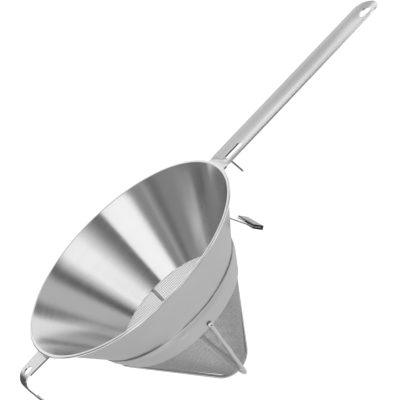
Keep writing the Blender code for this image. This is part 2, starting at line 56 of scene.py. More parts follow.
MESH_SHELL = 0.0007
MESH_HALF_ANGLE = math.radians(33.4)
MESH_TIP_RADIUS = 0.0165

ROD_RADIUS = 0.0015
ROD_STANDOFF = 0.0010
ROD_HOLE_RADIUS = 0.0023
ROD_HOLE_RISE = 0.0045
ROD_HOLE_DROP = 0.0007      # 0.2 mm more than in the frame
SIDE_ROD_AZIMUTHS = (0.0, 180.0)
CROSS_ROD_AZIMUTHS = (-86.8, 90.2)

HANDLE_LENGTH = 0.1805
HANDLE_ROOT_WIDTH = 0.0288
HANDLE_END_WIDTH = 0.0277
HANDLE_SHEET = 0.0014
HANDLE_DISH = 0.0028
HANDLE_FLOOR_DROP = 0.0023
HANG_HOLE_INSET = 0.0118
HANG_HOLE_LENGTH = 0.0114
HANG_HOLE_WIDTH = 0.0110
SLOT_OFFSET = 0.0055
SLOT_LENGTH = 0.0198
SLOT_WIDTH = 0.0070
SLOT_CORNER = 0.0020
TONGUE_GAP = 0.0003
TONGUE_LEAN = math.radians(6.0)
TONGUE_BEND = 0.0040

HOOK_SHEET = 0.0012
HOOK_RIM_GAP = 0.0028
HOOK_ROOT_WIDTH = 0.0210
HOOK_BEND_WIDTH = 0.0186    # strap's width where the bend starts
HOOK_TIP_WIDTH = 0.0135
HOOK_TAPER_LENGTH = 0.0070  # length over which the bend narrows to the tip's width
HOOK_LENGTH = 0.0272
HOOK_BEND = 0.0090
HOOK_LEAN = math.radians(4.0)
HOOK_DROP = 0.0262
HOOK_LIP = 0.0020
HOOK_LIP_ANGLE = math.radians(50.0)
HOOK_FOOT = 0.0130
HOOK_HOLE_OFFSET = 0.016
HOOK_HOLE_DIAMETER = 0.0080

REST_WIDTH = 0.0308
REST_SHEET = 0.0010
REST_FOOT_TOP = 0.0120
REST_ROOT_DEPTH = 0.0326
REST_PLATE_LENGTH = 0.0217
REST_PLATE_LEAN = math.radians(24.5)
REST_KICK_LENGTH = 0.0078
REST_KICK_LEAN = math.radians(33.5)
REST_BEND = 0.0025
TRIM_SHEET = 0.0010

CLEARANCE = 0.0003
WELD_DISTANCE = 0.000001    # points closer than this are one

# Fine detail that the frame leaves out

ROUND_STEPS = 360           # facets of the turned pieces
WALL_ROWS = 12              # rows of faces down the straight wall
WALL_RIPPLE = 0.000016      # waves left in the wall by the spinning tool
RIPPLE_WAVES = (7, 11, 17, 23, 31, 43)
RIPPLE_PHASE = 2.4          # turns the waves against each other
RIPPLE_FALL = 0.5           # how fast they get smaller
RIPPLE_FADE = 0.006         # they reach their full height this far below the rim
INNER_BEND_STEPS = 6        # facets of the rim's bends
OUTER_BEND_STEPS = 12
INSIDE_BEND_FACES = 1       # of the inner bend, upper side, with the inner wall's finish
OUTSIDE_BEND_FACES = 3      # of the inner bend, under side, with the outer wall's finish

WIRE_PITCH = 0.0015         # woven mesh
WIRE_RADIUS = 0.00025
WIRE_SIDES = 6
CLOTH_HALF_SIZE = 0.13      # flat cloth, from the cone's apex
CLOTH_TOP_DEPTH = 0.050     # upper edge of the mesh, hidden in the band
CLOTH_CENTRE_GAP = 0.0009   # wires stop this close to the tip's centre
SEAM_AZIMUTH = math.radians(-100.0)
SEAM_OVERLAP = 0.0050
SEAM_SPOT_PITCH = 0.0026
SEAM_SPOT_RADIUS = 0.0008
SEAM_SPOT_SHARE = 0.4       # place of the spots across the overlap
SEAM_WIDEST = 0.6           # most that the overlap turns near the tip, in radians

BAND_ROWS = 40              # rows of faces down the band
BAND_DRAW_IN = 0.0013       # the band's upper edge leans in to the wall
BAND_DRAW_DROP = 0.0060
PRESS_AZIMUTHS = (-111.0, 9.0, 129.0)   # where it is pressed down and spot-welded to the wall
PRESS_LENGTH = 0.022
PRESS_DEPTH = 0.0002
PRESS_FADE_START = 0.7      # share of half the length at which a press starts to fade
PRESS_FADE = 0.4
CREASE_HEIGHT = 0.0001      # creases that the press leaves in the band; the band's colour is also lightened along them, a painted highlight
CREASE_HALF_WIDTH = 0.0007
CREASES = (                 # depth below the band's edge, offset along the band, length
    (0.0012, -0.0050, 0.0110),
    (0.0065, 0.0060, 0.0140),
)

ROD_SIDES = 24
ROD_HOLE_SIDES = 40
ROD_BEND_STEPS = 10         # from the hole to the band's outside
ROD_STRAIGHT_STEPS = 24     # from the band's edge to the tip
ROD_TIP_STEPS = 24          # from there to the lowest point
ROD_FLAT_LENGTH = 0.0055    # of each end that is flattened
ROD_FLAT_FADE = 0.0020
ROD_FLATTENING = 0.20       # share of the radius

HANDLE_STRIPS = 22          # faces across the handle's dish
HANDLE_PRESS_STEPS = 8      # faces along its pressed root
HANDLE_END_STEPS = 40
HANDLE_ROOT_STEPS = 24
HANG_HOLE_STEPS = 20        # facets of each half of the hang hole
TAB_CORNER_STEPS = 6
TONGUE_BEND_STEPS = 10
HOOK_BEND_STEPS = 24
HOOK_HOLE_SIDES = 48
REST_BEND_STEPS = 14

HANDLE_EDGE = 0.00035       # rounding of the cut edges
HOOK_EDGE = 0.00025
REST_EDGE = 0.0002
EDGE_SEGMENTS = 3
EDGE_ANGLE = math.radians(50.0)

# Values worked out from those sizes

RIM_Z = HOOK_SHEET + HOOK_RIM_GAP + RIM_FOLD_HEIGHT / 2
FOLD_ARC = (RIM_FOLD_HEIGHT - WALL_SHEET) / 2
FOLD_CENTRE = RIM_RADIUS - RIM_FOLD_WIDTH / 2
FOLD_SHIFT = (RIM_FOLD_WIDTH - WALL_SHEET) / 2 - FOLD_ARC
BAND_BOTTOM_DEPTH = WALL_DEPTH + BAND_OVERHANG
BAND_TOP_DEPTH = BAND_BOTTOM_DEPTH - BAND_HEIGHT
ROD_HOLE_DEPTH = BAND_BOTTOM_DEPTH - ROD_HOLE_RISE
HANDLE_REACH = RIM_RADIUS + HANDLE_LENGTH
HANDLE_ROOT = RIM_RADIUS + CLEARANCE
SLOT_START = RIM_RADIUS + SLOT_OFFSET
TONGUE_WIDTH = SLOT_WIDTH - 2 * TONGUE_GAP
TONGUE_LENGTH = SLOT_LENGTH - TONGUE_GAP
HOOK_REACH = RIM_RADIUS + HOOK_LENGTH
HOOK_HOLE_RADIUS = RIM_RADIUS + HOOK_HOLE_OFFSET
CLOTH_LINES = int(CLOTH_HALF_SIZE / WIRE_PITCH)
SEAM_LIFT = 4 * WIRE_RADIUS     # upper layer of the overlap above the lower one

# Camera, floor and light

VIEW_AZIMUTH = math.radians(-7.1)
VIEW_ELEVATION = math.radians(25.4)
VIEW_ROLL = math.radians(43.52)
VIEW_TARGET = Vector((0.06960, -0.01126, -0.00040))
VIEW_DISTANCE = 1.6922
VIEW_LENS = 197.18
VIEW_SENSOR = 36.0
FLOOR_Z = -0.40
FLOOR_SIZE = 40.0
FLOOR_GREY = 0.80
FLOOR_GLOW = 0.48           # where it is seen
WORLD_LIGHT = 0.7           # what the white surroundings give as light
CARD_COLUMNS = 24
CARD_ROWS = 12


def wall_tangent():
    """Centre-line point where the straight wall runs into the rim's inner bend."""
    radius = FOLD_CENTRE - FOLD_SHIFT - FOLD_ARC * math.cos(WALL_HALF_ANGLE)
    return radius, -FOLD_ARC * math.sin(WALL_HALF_ANGLE)


def wall_radius(depth):
    """Centre-line radius of the straight wall at a depth below the rim plane."""
    radius, start = wall_tangent()
    return radius - (depth - start) * math.tan(WALL_HALF_ANGLE)


def band_radius(depth):
    """Centre-line radius of the clamp band."""
    wall_outside = wall_radius(BAND_TOP_DEPTH) + WALL_SHEET / 2 / math.cos(WALL_HALF_ANGLE)
    stack = (2 * CLEARANCE + MESH_SHELL + BAND_SHEET / 2) / math.cos(WALL_HALF_ANGLE)
    return wall_outside + stack - (depth - BAND_TOP_DEPTH) * math.tan(BAND_HALF_ANGLE)


def clamped_mesh_radius(depth):
    """Centre-line radius of the mesh where it lies inside the band."""
    offset = (BAND_SHEET / 2 + CLEARANCE + MESH_SHELL / 2) / math.cos(BAND_HALF_ANGLE)
    return band_radius(depth) - offset


def mesh_apex_depth():
    """Depth at which the free mesh cone would meet the axis."""
    return BAND_BOTTOM_DEPTH + clamped_mesh_radius(BAND_BOTTOM_DEPTH) / math.tan(MESH_HALF_ANGLE)


def tip_centre_depth():
    """Depth of the centre of the rounded tip."""
    return mesh_apex_depth() - (MESH_TIP_RADIUS - MESH_SHELL / 2) / math.sin(MESH_HALF_ANGLE)


def z_of(depth):
    """Height of a depth below the rim plane."""
    return RIM_Z - depth


def arc(centre, radius, start, end, steps):
    """Points (a, b) along an arc, angles in radians."""
    points = []
    for index in range(steps + 1):
        angle = start + (end - start) * index / steps
        points.append((centre[0] + radius * math.cos(angle), centre[1] + radius * math.sin(angle)))
    return points


def offset_path(points, distance):
    """An open path moved sideways, to its left, by a distance, with mitred corners."""
    moved = []
    last = len(points) - 1
    for index, point in enumerate(points):
        here = Vector(point)
        before = Vector(points[max(index - 1, 0)])
        after = Vector(points[min(index + 1, last)])
        way_in = (here - before).normalized() if index > 0 else (after - here).normalized()
        way_out = (after - here).normalized() if index < last else way_in
        left_in = Vector((-way_in.y, way_in.x))
        left_out = Vector((-way_out.y, way_out.x))
        mitre = (left_in + left_out).normalized()
        moved.append(tuple(here + mitre * distance / max(mitre.dot(left_in), 0.5)))
    return moved


def smooth_step(value):
    """0 below 0, 1 above 1 and a soft ramp between."""
    share = np.clip(value, 0.0, 1.0)
    return share * share * (3 - 2 * share)


def new_object(name, mesh, materials):
    """Link a mesh as an object with its materials."""
    obj = bpy.data.objects.new(name, mesh)
    bpy.context.scene.collection.objects.link(obj)
    for material in materials:
        mesh.materials.append(material)
    return obj


def mesh_from(bm, name):
    """Turn a finished bmesh into a mesh."""
    mesh = bpy.data.meshes.new(name)
    bm.to_mesh(mesh)
    bm.free()
    return mesh


def apply_modifiers(obj):
    """Replace an object's mesh with the one its modifiers make."""
    graph = bpy.context.evaluated_depsgraph_get()
    mesh = bpy.data.meshes.new_from_object(obj.evaluated_get(graph))
    obj.modifiers.clear()
    obj.data = mesh


def smooth(obj, degrees=35.0):
    """Shade round faces smooth and keep the sheet's edges sharp."""
    obj.data.shade_smooth()
    obj.data.set_sharp_from_angle(angle=math.radians(degrees))
    return obj


def stand_in(obj, slot, *nodes):
    """The piece takes the place of CAD nodes and rides on the strainer's one body."""
    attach(obj, "root")
    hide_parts(*nodes)
    return obj


def revolve(name, outline, finishes, materials, shift=None):
    """Turn a closed outline of (radius, z) points round the axis.

    finishes holds the material index of each outline edge. shift(radius, z, azimuth) gives a
    change of the radius.
    """
    bm = bmesh.new()
    rings = []
    for step in range(ROUND_STEPS):
        azimuth = 2 * math.pi * step / ROUND_STEPS
        ring = []
        for radius, z in outline:
            reach = radius + (shift(radius, z, azimuth) if shift else 0.0)
            ring.append(bm.verts.new((reach * math.cos(azimuth), reach * math.sin(azimuth), z)))
        rings.append(ring)
    count = len(outline)
    for step in range(ROUND_STEPS):
        ring, after = rings[step], rings[(step + 1) % ROUND_STEPS]
        for index in range(count):
            other = (index + 1) % count
            face = bm.faces.new((ring[index], after[index], after[other], ring[other]))
            face.material_index = finishes[index]
    bmesh.ops.recalc_face_normals(bm, faces=bm.faces)
    return new_object(name, mesh_from(bm, name), materials)


def wall_shift(radius, z, azimuth):
    """Small waves of the spun wall, which fade out towards the rim."""
    fade = float(smooth_step((RIM_Z - z) / RIPPLE_FADE))
    wave = 0.0
    for index, count in enumerate(RIPPLE_WAVES):
        wave += math.sin(count * azimuth + RIPPLE_PHASE * index * index) / (1 + RIPPLE_FALL * index)
    return WALL_RIPPLE * fade * wave


def make_cone_sheet(inside, hem, outside):
    """Upper cone of one sheet, with its folded rim."""
    bottom = (wall_radius(WALL_DEPTH), z_of(WALL_DEPTH))
    tangent_radius, tangent_depth = wall_tangent()
    top = (tangent_radius, z_of(tangent_depth))
    line = []
    for row in range(WALL_ROWS):
        share = row / WALL_ROWS
        line.append(tuple(a + (b - a) * share for a, b in zip(bottom, top)))
    inner = (FOLD_CENTRE - FOLD_SHIFT, RIM_Z)
    line += arc(inner, FOLD_ARC, math.pi - WALL_HALF_ANGLE, math.pi / 2, INNER_BEND_STEPS)
    outer = (FOLD_CENTRE + FOLD_SHIFT, RIM_Z)
    line += arc(outer, FOLD_ARC, math.pi / 2, -math.pi / 2, OUTER_BEND_STEPS)
    line.append((outer[0] - FOLD_RETURN, RIM_Z - FOLD_ARC))
    upper = offset_path(line, WALL_SHEET / 2)
    under = offset_path(line, -WALL_SHEET / 2)
    inner_faces = WALL_ROWS + INSIDE_BEND_FACES
    outer_faces = WALL_ROWS + OUTSIDE_BEND_FACES + 1    # with the sheet's lower cut edge
    hem_faces = 2 * len(line) - inner_faces - outer_faces
    finishes = [0] * inner_faces + [1] * hem_faces + [2] * outer_faces
    obj = revolve("cone_sheet", upper + under[::-1], finishes, [inside, hem, outside], wall_shift)
    return stand_in(smooth(obj), "brushed_steel", "body_cone")


def band_marks(z, azimuth):
    """How far a place on the band belongs to a pressed stretch, and to a crease in it."""
    below_edge = z_of(BAND_TOP_DEPTH) - z
    pressed, crease = 0.0, 0.0
    for degrees in PRESS_AZIMUTHS:
        turn = math.remainder(azimuth - math.radians(degrees), 2 * math.pi)
        along = turn * band_radius(BAND_TOP_DEPTH)
        share = abs(along) / (PRESS_LENGTH / 2)
        pressed = max(pressed, 1.0 - float(smooth_step((share - PRESS_FADE_START) / PRESS_FADE)))
        for depth, offset, length in CREASES:
            near = 1.0 - float(smooth_step(abs(below_edge - depth) / CREASE_HALF_WIDTH))
            ends = 1.0 - float(smooth_step(abs(along - offset) / (length / 2)))
            crease = max(crease, near * ends)
    return pressed, crease


def band_shift(radius, z, azimuth):
    """How far the band's upper edge is drawn in, more so at its spot-welded stretches."""
    down = 1.0 - float(smooth_step((z_of(BAND_TOP_DEPTH) - z) / BAND_DRAW_DROP))
    pressed, crease = band_marks(z, azimuth)
    return CREASE_HEIGHT * crease - down * (BAND_DRAW_IN + PRESS_DEPTH * pressed)


def rod_hole_cutter(degrees):
    """A cylinder through the band, square to it."""
    azimuth = math.radians(degrees)
    radius = band_radius(ROD_HOLE_DEPTH)
    centre = Vector((radius * math.cos(azimuth), radius * math.sin(azimuth), z_of(ROD_HOLE_DEPTH)))
    outwards = Vector((
        math.cos(BAND_HALF_ANGLE) * math.cos(azimuth),
        math.cos(BAND_HALF_ANGLE) * math.sin(azimuth),
        -math.sin(BAND_HALF_ANGLE),
    ))
    bm = bmesh.new()
    bmesh.ops.create_cone(
        bm, cap_ends=True, segments=ROD_HOLE_SIDES, radius1=ROD_HOLE_RADIUS, radius2=ROD_HOLE_RADIUS,
        depth=4 * BAND_SHEET,
    )
    turn = outwards.to_track_quat("Z", "Y").to_matrix().to_4x4()
    bmesh.ops.transform(bm, matrix=Matrix.Translation(centre) @ turn, verts=bm.verts)
    return new_object("rod_hole_cutter", mesh_from(bm, "rod_hole_cutter"), [])


def make_band_sheet(material):
    """Clamp band with pressed stretches and the holes for the rod ends."""
    line = []
    for row in range(BAND_ROWS + 1):
        depth = BAND_BOTTOM_DEPTH - BAND_HEIGHT * row / BAND_ROWS
        line.append((band_radius(depth), z_of(depth)))
    outline = offset_path(line, BAND_SHEET / 2) + offset_path(line, -BAND_SHEET / 2)[::-1]
    obj = revolve("band_sheet", outline, [0] * len(outline), [material], band_shift)
    for degrees in SIDE_ROD_AZIMUTHS + CROSS_ROD_AZIMUTHS:
        cutter = rod_hole_cutter(degrees)
        boolean = obj.modifiers.new("rod_hole", "BOOLEAN")
        boolean.operation = "DIFFERENCE"
        boolean.solver = "EXACT"
        boolean.object = cutter
        apply_modifiers(obj)
        bpy.data.objects.remove(cutter, do_unlink=True)
    # Share of each point in a crease, kept as a mesh attribute that lightens the band's colour there: a
    # painted highlight
    creases = []
    for vertex in obj.data.vertices:
        creases.append(band_marks(vertex.co.z, math.atan2(vertex.co.y, vertex.co.x))[1])
    obj.data.attributes.new("crease_highlight", "FLOAT", "POINT").data.foreach_set("value", creases)
    return stand_in(smooth(obj), "satin_steel", "clamp_band")


def tube(points, ups, across, high, sides):
    """Vertices and faces of a closed tube along points.

    ups are directions square to the path, across and high the half sizes at each point.
    """
    along = np.gradient(points, axis=0)
    along /= np.linalg.norm(along, axis=1)[:, None]
    side = np.cross(along, ups)
    side /= np.linalg.norm(side, axis=1)[:, None]
    up = np.cross(side, along)
    angles = 2 * np.pi * (np.arange(sides) + 0.5) / sides
    ring = (
        side[:, None, :] * np.cos(angles)[None, :, None] * across[:, None, None]
        + up[:, None, :] * np.sin(angles)[None, :, None] * high[:, None, None]
    )
    vertices = (points[:, None, :] + ring).reshape(-1, 3)
    count = len(points)
    start = np.arange(count - 1)[:, None] * sides + np.arange(sides)[None, :]
    turned = np.arange(count - 1)[:, None] * sides + (np.arange(sides)[None, :] + 1) % sides
    quads = np.stack([start, turned, turned + sides, start + sides], axis=-1).reshape(-1, 4)
    faces = quads.tolist()
    faces.append(list(range(sides))[::-1])
    faces.append([(count - 1) * sides + index for index in range(sides)])
    return vertices, faces


def cloth_points(across, along, lift):
    """Points and outward normals of the rolled cloth, from its flat pattern.

    across and along are measured from the cone's apex in the flat cloth, lift outwards from it.
    """
    sine, cosine = math.sin(MESH_HALF_ANGLE), math.cos(MESH_HALF_ANGLE)
    ball = MESH_TIP_RADIUS - MESH_SHELL / 2
    touch = ball * cosine / sine
    edge = clamped_mesh_radius(BAND_BOTTOM_DEPTH) / sine
    reach = np.hypot(across, along)
    theta = np.arctan2(along, across)
    turn = np.clip(reach / touch, 0.0, 1.0) * (math.pi / 2 - MESH_HALF_ANGLE)
    past = reach - edge
    on_ball = reach < touch
    in_band = past > 0
    radius = np.where(on_ball, ball * np.sin(turn), reach * sine)
    radius = np.where(in_band, edge * sine + past * math.sin(BAND_HALF_ANGLE), radius)
    depth = np.where(on_ball, tip_centre_depth() + ball * np.cos(turn), mesh_apex_depth() - reach * cosine)
    depth = np.where(in_band, BAND_BOTTOM_DEPTH - past * math.cos(BAND_HALF_ANGLE), depth)
    outwards = np.where(on_ball, np.sin(turn), cosine)
    downwards = np.where(on_ball, np.cos(turn), sine)
    seam = theta - math.pi * sine
    lifted = lift + SEAM_LIFT * smooth_step(1.0 + seam * reach / SEAM_OVERLAP)
    azimuth = SEAM_AZIMUTH + math.pi + theta / sine
    ways = np.stack([np.cos(azimuth) * outwards, np.sin(azimuth) * outwards, -downwards], axis=-1)
    places = np.stack([radius * np.cos(azimuth), radius * np.sin(azimuth), RIM_Z - depth], axis=-1)
    return places + ways * lifted[:, None], ways


def in_cloth(across, along):
    """Whether points of the flat cloth belong to its cut sector."""
    sine = math.sin(MESH_HALF_ANGLE)
    edge = clamped_mesh_radius(BAND_BOTTOM_DEPTH) / sine
    top = edge + (BAND_BOTTOM_DEPTH - CLOTH_TOP_DEPTH) / math.cos(BAND_HALF_ANGLE)
    reach = np.hypot(across, along)
    theta = np.arctan2(along, across)
    extra = np.minimum(SEAM_OVERLAP / np.maximum(reach, SEAM_OVERLAP), SEAM_WIDEST)
    inside = (reach > CLOTH_CENTRE_GAP) & (reach < top)
    return inside & (theta > -math.pi * sine) & (theta < math.pi * sine + extra)


def runs_of(mask):
    """Start and end of each unbroken run of true values."""
    padded = np.concatenate([[False], mask, [False]]).astype(int)
    change = np.flatnonzero(np.diff(padded))
    return list(zip(change[::2], change[1::2]))


def make_wires(name, lines, crossed, material):
    """One half of the cloth's wires in one direction, woven over and under the others."""
    steps = np.arange(-CLOTH_LINES, CLOTH_LINES + 1)
    vertices, faces, total = [], [], 0
    for line in steps[lines]:
        fixed = np.full(len(steps), (line + 0.5) * WIRE_PITCH)
        moving = (steps + 0.5) * WIRE_PITCH
        across, along = (moving, fixed) if crossed else (fixed, moving)
        lift = WIRE_RADIUS * np.where((line + steps) % 2 == 0, 1.0, -1.0) * (-1.0 if crossed else 1.0)
        for start, end in runs_of(in_cloth(across, along)):
            if end - start < 2:
                continue
            points, ups = cloth_points(across[start:end], along[start:end], lift[start:end])
            sizes = np.full(end - start, WIRE_RADIUS)
            new_vertices, new_faces = tube(points, ups, sizes, sizes, WIRE_SIDES)
            vertices.append(new_vertices)
            faces += [[index + total for index in face] for face in new_faces]
            total += len(new_vertices)
    mesh = bpy.data.meshes.new(name)
    mesh.from_pydata(np.concatenate(vertices).tolist(), [], faces)
    mesh.update()
    obj = new_object(name, mesh, [material])
    obj.data.shade_smooth()
    return stand_in(obj, "woven_steel", "mesh_cone")


def make_seam_spots(material):
    """Spot welds along the overlap of the cloth's seam."""
    sine = math.sin(MESH_HALF_ANGLE)
    edge = clamped_mesh_radius(BAND_BOTTOM_DEPTH) / sine
    count = int((edge - MESH_TIP_RADIUS) / SEAM_SPOT_PITCH)
    reach = MESH_TIP_RADIUS + (np.arange(count) + 0.5) * SEAM_SPOT_PITCH
    theta = math.pi * sine + SEAM_SPOT_SHARE * SEAM_OVERLAP / reach
    places, ways = cloth_points(reach * np.cos(theta), reach * np.sin(theta), np.full(count, WIRE_RADIUS))
    bm = bmesh.new()
    for place, way in zip(places, ways):
        turn = Vector(way).to_track_quat("Z", "Y").to_matrix().to_4x4()
        size = Matrix.Diagonal((SEAM_SPOT_RADIUS, SEAM_SPOT_RADIUS, WIRE_RADIUS * 1.5, 1.0))
        matrix = Matrix.Translation(place) @ turn @ size
        bmesh.ops.create_icosphere(bm, subdivisions=2, radius=1.0, matrix=matrix)
    obj = new_object("seam_spots", mesh_from(bm, "seam_spots"), [material])
    obj.data.shade_smooth()
    return stand_in(obj, "woven_steel", "mesh_cone")


def tangent_angle(point, centre, radius):
    """Angle at which a straight line from an outer point touches a circle, on its outer side."""
    across = point[0] - centre[0]
    up = point[1] - centre[1]
    return math.atan2(up, across) - math.acos(radius / math.hypot(across, up))


def rod_leg(tip_offset):
    """Half of a guard rod as (radius, height) points, from its hole to its lowest point."""
    into_band = Vector((-math.cos(BAND_HALF_ANGLE), math.sin(BAND_HALF_ANGLE)))
    down_band = Vector((-math.sin(BAND_HALF_ANGLE), -math.cos(BAND_HALF_ANGLE)))
    hole = Vector((band_radius(ROD_HOLE_DEPTH), z_of(ROD_HOLE_DEPTH))) + down_band * ROD_HOLE_DROP
    standoff = BAND_SHEET / 2 + CLEARANCE + ROD_RADIUS
    bend = standoff - BAND_SHEET / 2
    leg = [hole + into_band * (BAND_SHEET / 2 - CLEARANCE)]
    turn_centre = hole - into_band * (standoff - bend) + down_band * bend
    for index in range(ROD_BEND_STEPS + 1):
        angle = math.pi / 2 * index / ROD_BEND_STEPS
        leg.append(turn_centre - down_band * bend * math.cos(angle) - into_band * bend * math.sin(angle))
    to_edge = ROD_HOLE_RISE / math.cos(BAND_HALF_ANGLE) - ROD_HOLE_DROP - bend
    edge = leg[-1] + down_band * to_edge
    leg.append(edge)
    centre = (0.0, z_of(tip_centre_depth()))
    radius = MESH_TIP_RADIUS + tip_offset
    start = tangent_angle(edge, centre, radius)
    touch = Vector(arc(centre, radius, start, start, 1)[0])
    for index in range(1, ROD_STRAIGHT_STEPS):
        leg.append(edge.lerp(touch, index / ROD_STRAIGHT_STEPS))
    leg += [Vector(point) for point in arc(centre, radius, start, -math.pi / 2, ROD_TIP_STEPS)]
    return leg


def make_guard_rod(name, azimuths, tip_offset, material, node):
    """One rod bent round the tip, with its ends flattened where they enter the band."""
    leg = rod_leg(tip_offset)
    points, ups, ends = [], [], []
    for index, (degrees, run) in enumerate(zip(azimuths, (leg, leg[-2::-1]))):
        azimuth = math.radians(degrees)
        way = 1.0 if index == 0 else -1.0
        for radius, height in run:
            points.append((radius * math.cos(azimuth), radius * math.sin(azimuth), height))
            ups.append((-math.sin(azimuth) * way, math.cos(azimuth) * way, 0.0))
    points = np.array(points)
    lengths = np.concatenate([[0.0], np.cumsum(np.linalg.norm(np.diff(points, axis=0), axis=1))])
    from_end = np.minimum(lengths, lengths[-1] - lengths)
    flat = 1.0 - smooth_step((from_end - ROD_FLAT_LENGTH) / ROD_FLAT_FADE)
    wide = ROD_RADIUS * (1.0 + ROD_FLATTENING * flat)
    thin = ROD_RADIUS * (1.0 - ROD_FLATTENING * flat)
    vertices, faces = tube(points, np.array(ups), thin, wide, ROD_SIDES)
    mesh = bpy.data.meshes.new(name)
    mesh.from_pydata(vertices.tolist(), [], faces)
    mesh.update()
    obj = new_object(name, mesh, [material])
    return stand_in(smooth(obj), "rod_steel", node)


def filled_curve(name, outlines, half_depth=0.0):
    """Mesh of flat outlines, the first with the others as holes, extruded to both sides."""
    curve = bpy.data.curves.new(name, "CURVE")
    curve.dimensions = "2D"
    curve.fill_mode = "BOTH" if half_depth else "FRONT"
    curve.extrude = half_depth
    for outline in outlines:
        spline = curve.splines.new("POLY")
        spline.points.add(len(outline) - 1)
        for point, (across, along) in zip(spline.points, outline):
            point.co = (across, along, 0.0, 1.0)
        spline.use_cyclic_u = True
    source = bpy.data.objects.new(name, curve)
    bpy.context.scene.collection.objects.link(source)
    graph = bpy.context.evaluated_depsgraph_get()
    mesh = bpy.data.meshes.new_from_object(source.evaluated_get(graph))
    bpy.data.objects.remove(source, do_unlink=True)
    bm = bmesh.new()
    bm.from_mesh(mesh)
    bmesh.ops.remove_doubles(bm, verts=bm.verts, dist=WELD_DISTANCE)
    bmesh.ops.recalc_face_normals(bm, faces=bm.faces)
    bm.to_mesh(mesh)
    bm.free()
    mesh.name = name
    return mesh


def split_sheet(bm, across, along):
    """Leave a flat sheet's faces joined only at the given lines across and along it."""
    lines = [((1.0, 0.0, 0.0), 0, place) for place in across]
    lines += [((0.0, 1.0, 0.0), 1, place) for place in along]
    for normal, axis, place in lines:
        everything = bm.verts[:] + bm.edges[:] + bm.faces[:]
        point = tuple(place * part for part in normal)
        bmesh.ops.bisect_plane(
            bm, geom=everything, plane_co=point, plane_no=normal, dist=WELD_DISTANCE,
        )
    loose = []
    near = 2 * WELD_DISTANCE
    for edge in bm.edges:
        ends = [vertex.co for vertex in edge.verts]
        on_line = any(all(abs(end[axis] - place) < near for end in ends) for _, axis, place in lines)
        if len(edge.link_faces) == 2 and not on_line:
            loose.append(edge)
    bmesh.ops.dissolve_edges(bm, edges=loose, use_verts=False, use_face_split=False)


def path_lengths(path):
    """Distance along a path at each of its points."""
    lengths = [0.0]
    for first, second in zip(path, path[1:]):
        lengths.append(lengths[-1] + math.dist(first, second))
    return lengths


def on_path(path, lengths, distance, lift=0.0):
    """Point of an (x, z) path at a distance along it, lifted to its left."""
    index = 0
    while index < len(path) - 2 and distance > lengths[index + 1]:
        index += 1
    start = Vector(path[index])
    along = (Vector(path[index + 1]) - start).normalized()
    return start + along * (distance - lengths[index]) + Vector((-along.y, along.x)) * lift


def finish_sheet(obj, thickness, edge):
    """Thickness and rounded edges of a piece made from an open surface."""
    sheet = obj.modifiers.new("sheet", "SOLIDIFY")
    sheet.thickness = thickness
    sheet.offset = 0.0
    sheet.use_even_offset = True
    round_edges(obj, edge)
    return obj


def round_edges(obj, edge):
    """Round the sharp edges of a piece and settle its shading."""
    bevel = obj.modifiers.new("edge", "BEVEL")
    bevel.width = edge
    bevel.segments = EDGE_SEGMENTS
    bevel.limit_method = "ANGLE"
    bevel.angle_limit = EDGE_ANGLE
    apply_modifiers(obj)
    smooth(obj, 40.0)
    even = obj.modifiers.new("even", "WEIGHTED_NORMAL")
    even.keep_sharp = True
    apply_modifiers(obj)


def bent_sheet(name, outlines, path, thickness, edge, materials):
    """Sheet piece: a flat pattern of (distance, y) outlines, bent along an (x, z) path."""
    mesh = filled_curve(name, outlines)
    lengths = path_lengths(path)
    bm = bmesh.new()
    bm.from_mesh(mesh)
    split_sheet(bm, lengths[1:-1], [0.0])
    for vertex in bm.verts:
        place = on_path(path, lengths, vertex.co.x)
        vertex.co = (place.x, vertex.co.y, place.y)
    bm.to_mesh(mesh)
    bm.free()
    return finish_sheet(new_object(name, mesh, materials), thickness, edge)


def stadium(start, end, width):
    """Outline of a slot with round ends between two x positions, centred on y = 0."""
    half = width / 2
    right = arc((end - half, 0.0), half, -math.pi / 2, math.pi / 2, HANG_HOLE_STEPS)
    return right + arc((start + half, 0.0), half, math.pi / 2, 3 * math.pi / 2, HANG_HOLE_STEPS)


def round_tab(start, end, width, corner):
    """Half-open outline of a tab with rounded far corners."""
    half = width / 2
    far = arc((end - corner, -half + corner), corner, -math.pi / 2, 0.0, TAB_CORNER_STEPS)
    far += arc((end - corner, half - corner), corner, 0.0, math.pi / 2, TAB_CORNER_STEPS)
    return [(start, -half)] + far + [(start, half)]


def in_tongue(x, y):
    """Whether a point of the flat handle belongs to the tongue."""
    corner = SLOT_CORNER - TONGUE_GAP
    past_side = max(abs(y) - (TONGUE_WIDTH / 2 - corner), 0.0)
    past_end = max(x - (SLOT_START + TONGUE_LENGTH - corner), 0.0)
    return x > SLOT_START and math.hypot(past_side, past_end) < corner + TONGUE_GAP / 2


def dish(y):
    """Rise of the handle's sheet at a distance from its middle line."""
    half = HANDLE_ROOT_WIDTH / 2
    curve_radius = (half * half + HANDLE_DISH * HANDLE_DISH) / (2 * HANDLE_DISH)
    return curve_radius - math.sqrt(curve_radius * curve_radius - y * y)


def pressed_share(x):
    """How far the handle's dish is pressed flat: fully at its root, not at all from the slot on."""
    return 1.0 - float(smooth_step((x - HANDLE_ROOT) / (SLOT_START - HANDLE_ROOT)))


